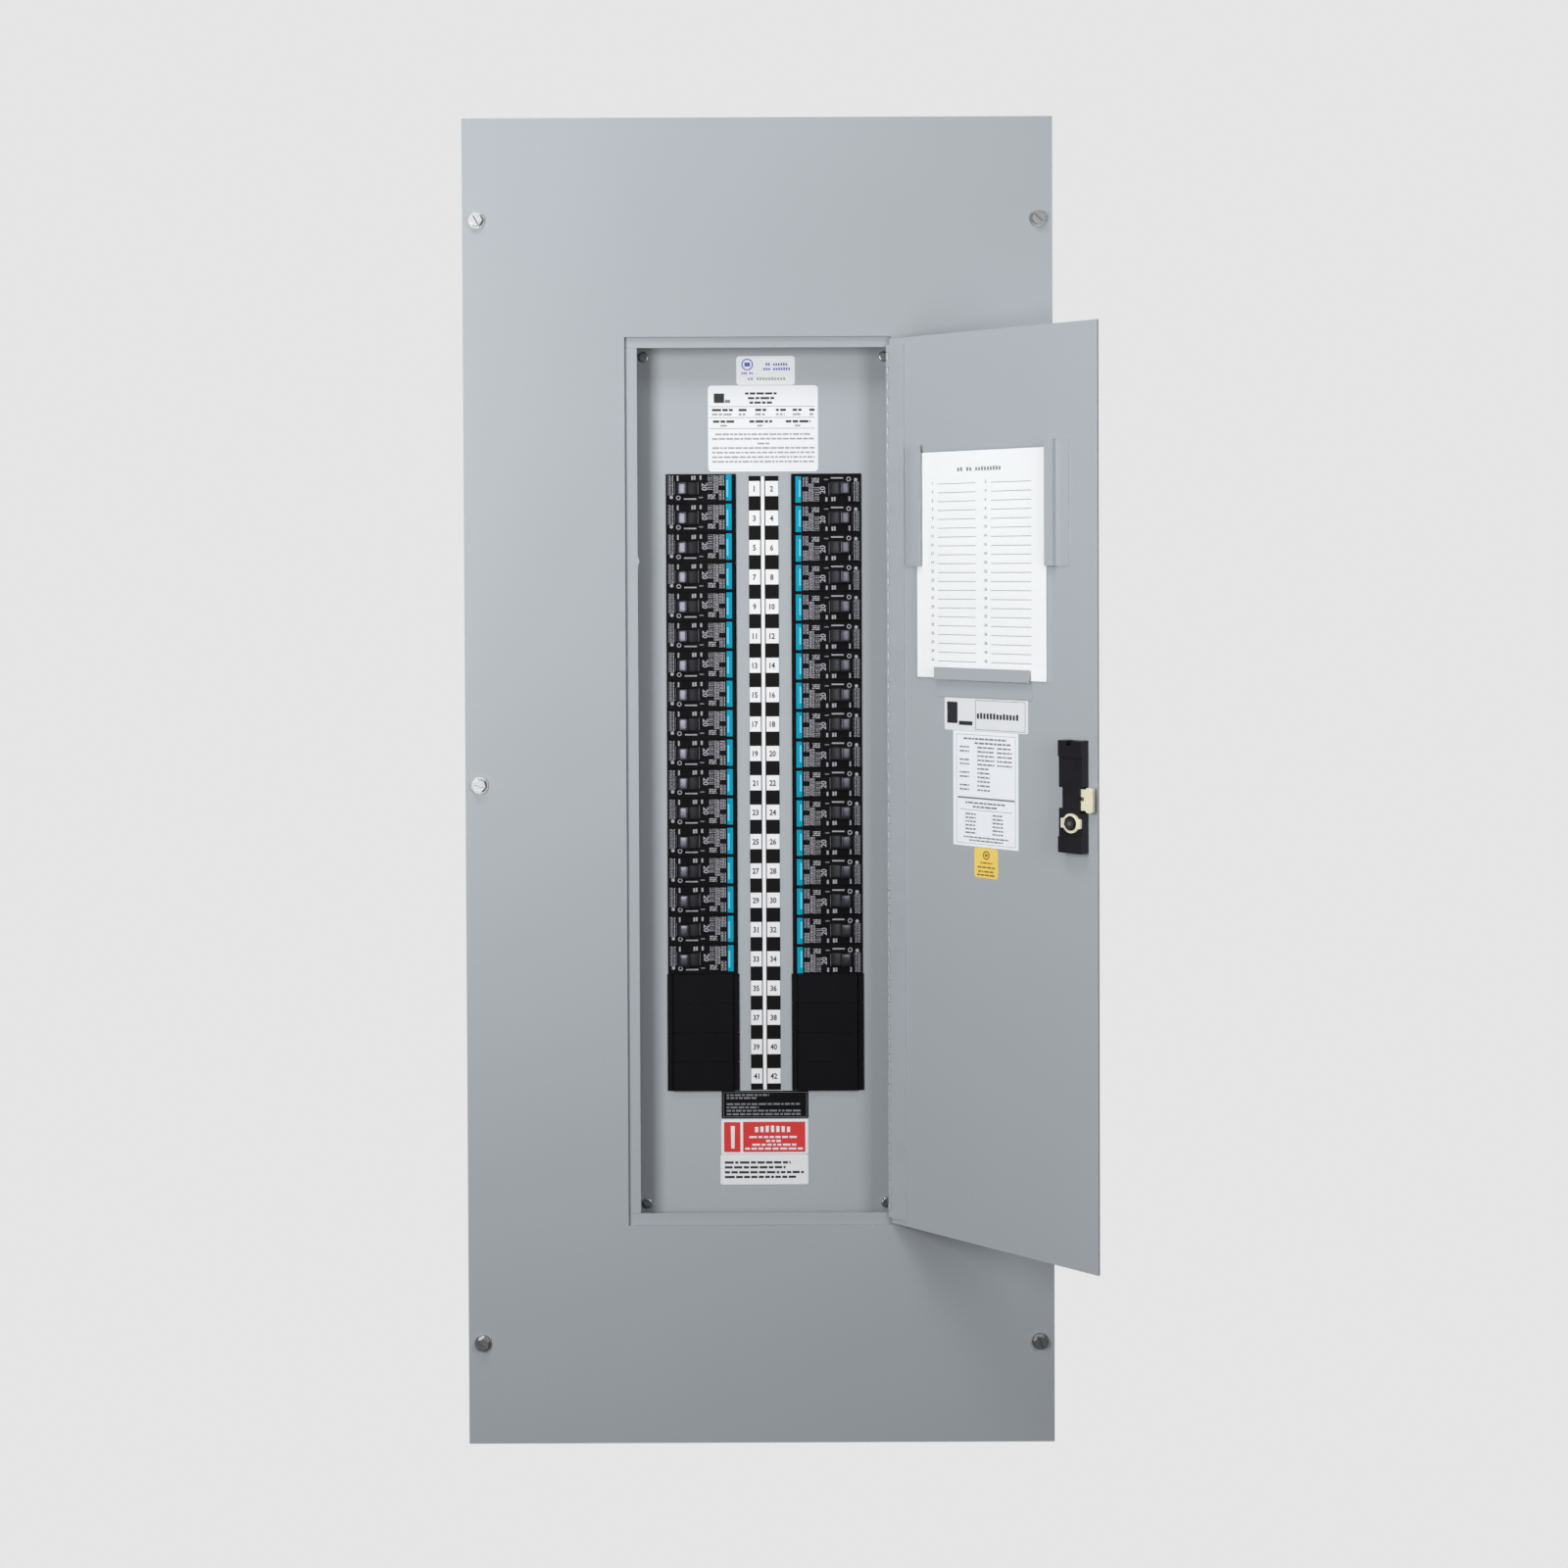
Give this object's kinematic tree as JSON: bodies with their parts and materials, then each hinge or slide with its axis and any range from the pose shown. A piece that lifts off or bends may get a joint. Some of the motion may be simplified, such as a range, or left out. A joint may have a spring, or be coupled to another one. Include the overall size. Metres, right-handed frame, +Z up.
{
  "type": "electrical subpanel enclosure",
  "caption": "Surface-mounted steel electrical subpanel with a hinged trim door open over two banks of breakers with numbered circuits and a directory card.",
  "frame": {"origin": "centre of the four wall-fixing holes, on the box's back face", "axes": "+Z up along the box, +Y into the wall, +X to the right seen from the front"},
  "size_m": [0.5174, 0.3111, 1.13],
  "materials": {
    "grey_paint": "satin",
    "galvanised_steel": "spangled",
    "zinc_steel": "zinc plated",
    "breaker_black": "moulded",
    "handle_black": "moulded",
    "filler_black": "fine texture",
    "latch_black": "moulded",
    "latch_cream": "moulded",
    "lock_chrome": "polished",
    "card_paper": "plain",
    "clear_window": "clear sheet",
    "bus_copper": "bare copper",
    "insulator_red": "moulded",
    "lug_aluminium": "mill"
  },
  "bodies": {
    "enclosure": {"enclosure_tub": "galvanised_steel", "end_walls": "galvanised_steel", "interior_pan": "galvanised_steel", "bus_insulators": "insulator_red", "bus_bars": "bus_copper", "branch_straps": "bus_copper", "main_lugs": "lug_aluminium", "neutral_bar": "lug_aluminium", "ground_bar": "lug_aluminium", "breaker_cases": "breaker_black", "filler_plates": "filler_black", "deadfront": "grey_paint", "deadfront_screws": "zinc_steel", "trim": "grey_paint", "trim_screws": "zinc_steel", "door_stop_frame": "grey_paint", "hinge_trim_leaf": "grey_paint", "hinge_pin": "zinc_steel"},
    "door": {"door_panel": "grey_paint", "hinge_door_leaf": "grey_paint", "directory_holder": "grey_paint", "directory_card": "card_paper", "card_window": "clear_window", "latch_housing": "latch_black"},
    "bolt": {"latch_bolt": "latch_cream"},
    "lock": {"lock_cylinder": "lock_chrome"},
    "handle_01": {"toggle_01": "handle_black"},
    "handle_02": {"toggle_02": "handle_black"},
    "handle_03": {"toggle_03": "handle_black"},
    "handle_04": {"toggle_04": "handle_black"},
    "handle_05": {"toggle_05": "handle_black"},
    "handle_06": {"toggle_06": "handle_black"},
    "handle_07": {"toggle_07": "handle_black"},
    "handle_08": {"toggle_08": "handle_black"},
    "handle_09": {"toggle_09": "handle_black"},
    "handle_10": {"toggle_10": "handle_black"},
    "handle_11": {"toggle_11": "handle_black"},
    "handle_12": {"toggle_12": "handle_black"},
    "handle_13": {"toggle_13": "handle_black"},
    "handle_14": {"toggle_14": "handle_black"},
    "handle_15": {"toggle_15": "handle_black"},
    "handle_16": {"toggle_16": "handle_black"},
    "handle_17": {"toggle_17": "handle_black"},
    "handle_18": {"toggle_18": "handle_black"},
    "handle_19": {"toggle_19": "handle_black"},
    "handle_20": {"toggle_20": "handle_black"},
    "handle_21": {"toggle_21": "handle_black"},
    "handle_22": {"toggle_22": "handle_black"},
    "handle_23": {"toggle_23": "handle_black"},
    "handle_24": {"toggle_24": "handle_black"},
    "handle_25": {"toggle_25": "handle_black"},
    "handle_26": {"toggle_26": "handle_black"},
    "handle_27": {"toggle_27": "handle_black"},
    "handle_28": {"toggle_28": "handle_black"},
    "handle_29": {"toggle_29": "handle_black"},
    "handle_30": {"toggle_30": "handle_black"},
    "handle_31": {"toggle_31": "handle_black"},
    "handle_32": {"toggle_32": "handle_black"},
    "handle_33": {"toggle_33": "handle_black"},
    "handle_34": {"toggle_34": "handle_black"}
  },
  "joints": [
    {"name": "door_hinge", "type": "hinge", "parent": "enclosure", "child": "door", "pos_m": [0.1108, -0.1473, 0], "axis": [0, 0, 1], "range_deg": [-134.5, 10.5]},
    {"name": "bolt_slide", "type": "slide", "parent": "door", "child": "bolt", "axis": [-0.7009, 0.7133, 0], "range_m": [0, 0.0095], "stiffness_N_per_m": 150, "springref_m": -0.01},
    {"name": "lock_turn", "type": "hinge", "parent": "door", "child": "lock", "pos_m": [0.25329, -0.2923, -0.0192], "axis": [-0.7133, -0.7009, 0], "range_deg": [0, 90]},
    {"name": "handle_01_throw", "type": "hinge", "parent": "enclosure", "child": "handle_01", "pos_m": [-0.0617, -0.11245, 0.2515], "axis": [0, 0, 1], "range_deg": [0, 34]},
    {"name": "handle_02_throw", "type": "hinge", "parent": "enclosure", "child": "handle_02", "pos_m": [0.0707, -0.11245, 0.2515], "axis": [0, 0, -1], "range_deg": [0, 34]},
    {"name": "handle_03_throw", "type": "hinge", "parent": "enclosure", "child": "handle_03", "pos_m": [-0.0617, -0.11245, 0.2261], "axis": [0, 0, 1], "range_deg": [0, 34]},
    {"name": "handle_04_throw", "type": "hinge", "parent": "enclosure", "child": "handle_04", "pos_m": [0.0707, -0.11245, 0.2261], "axis": [0, 0, -1], "range_deg": [0, 34]},
    {"name": "handle_05_throw", "type": "hinge", "parent": "enclosure", "child": "handle_05", "pos_m": [-0.0617, -0.11245, 0.2007], "axis": [0, 0, 1], "range_deg": [0, 34]},
    {"name": "handle_06_throw", "type": "hinge", "parent": "enclosure", "child": "handle_06", "pos_m": [0.0707, -0.11245, 0.2007], "axis": [0, 0, -1], "range_deg": [0, 34]},
    {"name": "handle_07_throw", "type": "hinge", "parent": "enclosure", "child": "handle_07", "pos_m": [-0.0617, -0.11245, 0.1753], "axis": [0, 0, 1], "range_deg": [0, 34]},
    {"name": "handle_08_throw", "type": "hinge", "parent": "enclosure", "child": "handle_08", "pos_m": [0.0707, -0.11245, 0.1753], "axis": [0, 0, -1], "range_deg": [0, 34]},
    {"name": "handle_09_throw", "type": "hinge", "parent": "enclosure", "child": "handle_09", "pos_m": [-0.0617, -0.11245, 0.1499], "axis": [0, 0, 1], "range_deg": [0, 34]},
    {"name": "handle_10_throw", "type": "hinge", "parent": "enclosure", "child": "handle_10", "pos_m": [0.0707, -0.11245, 0.1499], "axis": [0, 0, -1], "range_deg": [0, 34]},
    {"name": "handle_11_throw", "type": "hinge", "parent": "enclosure", "child": "handle_11", "pos_m": [-0.0617, -0.11245, 0.1245], "axis": [0, 0, 1], "range_deg": [0, 34]},
    {"name": "handle_12_throw", "type": "hinge", "parent": "enclosure", "child": "handle_12", "pos_m": [0.0707, -0.11245, 0.1245], "axis": [0, 0, -1], "range_deg": [0, 34]},
    {"name": "handle_13_throw", "type": "hinge", "parent": "enclosure", "child": "handle_13", "pos_m": [-0.0617, -0.11245, 0.0991], "axis": [0, 0, 1], "range_deg": [0, 34]},
    {"name": "handle_14_throw", "type": "hinge", "parent": "enclosure", "child": "handle_14", "pos_m": [0.0707, -0.11245, 0.0991], "axis": [0, 0, -1], "range_deg": [0, 34]},
    {"name": "handle_15_throw", "type": "hinge", "parent": "enclosure", "child": "handle_15", "pos_m": [-0.0617, -0.11245, 0.0737], "axis": [0, 0, 1], "range_deg": [0, 34]},
    {"name": "handle_16_throw", "type": "hinge", "parent": "enclosure", "child": "handle_16", "pos_m": [0.0707, -0.11245, 0.0737], "axis": [0, 0, -1], "range_deg": [0, 34]},
    {"name": "handle_17_throw", "type": "hinge", "parent": "enclosure", "child": "handle_17", "pos_m": [-0.0617, -0.11245, 0.0483], "axis": [0, 0, 1], "range_deg": [0, 34]},
    {"name": "handle_18_throw", "type": "hinge", "parent": "enclosure", "child": "handle_18", "pos_m": [0.0707, -0.11245, 0.0483], "axis": [0, 0, -1], "range_deg": [0, 34]},
    {"name": "handle_19_throw", "type": "hinge", "parent": "enclosure", "child": "handle_19", "pos_m": [-0.0617, -0.11245, 0.0229], "axis": [0, 0, 1], "range_deg": [0, 34]},
    {"name": "handle_20_throw", "type": "hinge", "parent": "enclosure", "child": "handle_20", "pos_m": [0.0707, -0.11245, 0.0229], "axis": [0, 0, -1], "range_deg": [0, 34]},
    {"name": "handle_21_throw", "type": "hinge", "parent": "enclosure", "child": "handle_21", "pos_m": [-0.0617, -0.11245, -0.0025], "axis": [0, 0, 1], "range_deg": [0, 34]},
    {"name": "handle_22_throw", "type": "hinge", "parent": "enclosure", "child": "handle_22", "pos_m": [0.0707, -0.11245, -0.0025], "axis": [0, 0, -1], "range_deg": [0, 34]},
    {"name": "handle_23_throw", "type": "hinge", "parent": "enclosure", "child": "handle_23", "pos_m": [-0.0617, -0.11245, -0.0279], "axis": [0, 0, 1], "range_deg": [0, 34]},
    {"name": "handle_24_throw", "type": "hinge", "parent": "enclosure", "child": "handle_24", "pos_m": [0.0707, -0.11245, -0.0279], "axis": [0, 0, -1], "range_deg": [0, 34]},
    {"name": "handle_25_throw", "type": "hinge", "parent": "enclosure", "child": "handle_25", "pos_m": [-0.0617, -0.11245, -0.0533], "axis": [0, 0, 1], "range_deg": [0, 34]},
    {"name": "handle_26_throw", "type": "hinge", "parent": "enclosure", "child": "handle_26", "pos_m": [0.0707, -0.11245, -0.0533], "axis": [0, 0, -1], "range_deg": [0, 34]},
    {"name": "handle_27_throw", "type": "hinge", "parent": "enclosure", "child": "handle_27", "pos_m": [-0.0617, -0.11245, -0.0787], "axis": [0, 0, 1], "range_deg": [0, 34]},
    {"name": "handle_28_throw", "type": "hinge", "parent": "enclosure", "child": "handle_28", "pos_m": [0.0707, -0.11245, -0.0787], "axis": [0, 0, -1], "range_deg": [0, 34]},
    {"name": "handle_29_throw", "type": "hinge", "parent": "enclosure", "child": "handle_29", "pos_m": [-0.0617, -0.11245, -0.1041], "axis": [0, 0, 1], "range_deg": [0, 34]},
    {"name": "handle_30_throw", "type": "hinge", "parent": "enclosure", "child": "handle_30", "pos_m": [0.0707, -0.11245, -0.1041], "axis": [0, 0, -1], "range_deg": [0, 34]},
    {"name": "handle_31_throw", "type": "hinge", "parent": "enclosure", "child": "handle_31", "pos_m": [-0.0617, -0.11245, -0.1295], "axis": [0, 0, 1], "range_deg": [0, 34]},
    {"name": "handle_32_throw", "type": "hinge", "parent": "enclosure", "child": "handle_32", "pos_m": [0.0707, -0.11245, -0.1295], "axis": [0, 0, -1], "range_deg": [0, 34]},
    {"name": "handle_33_throw", "type": "hinge", "parent": "enclosure", "child": "handle_33", "pos_m": [-0.0617, -0.11245, -0.1549], "axis": [0, 0, 1], "range_deg": [0, 34]},
    {"name": "handle_34_throw", "type": "hinge", "parent": "enclosure", "child": "handle_34", "pos_m": [0.0707, -0.11245, -0.1549], "axis": [0, 0, -1], "range_deg": [0, 34]}
  ]
}
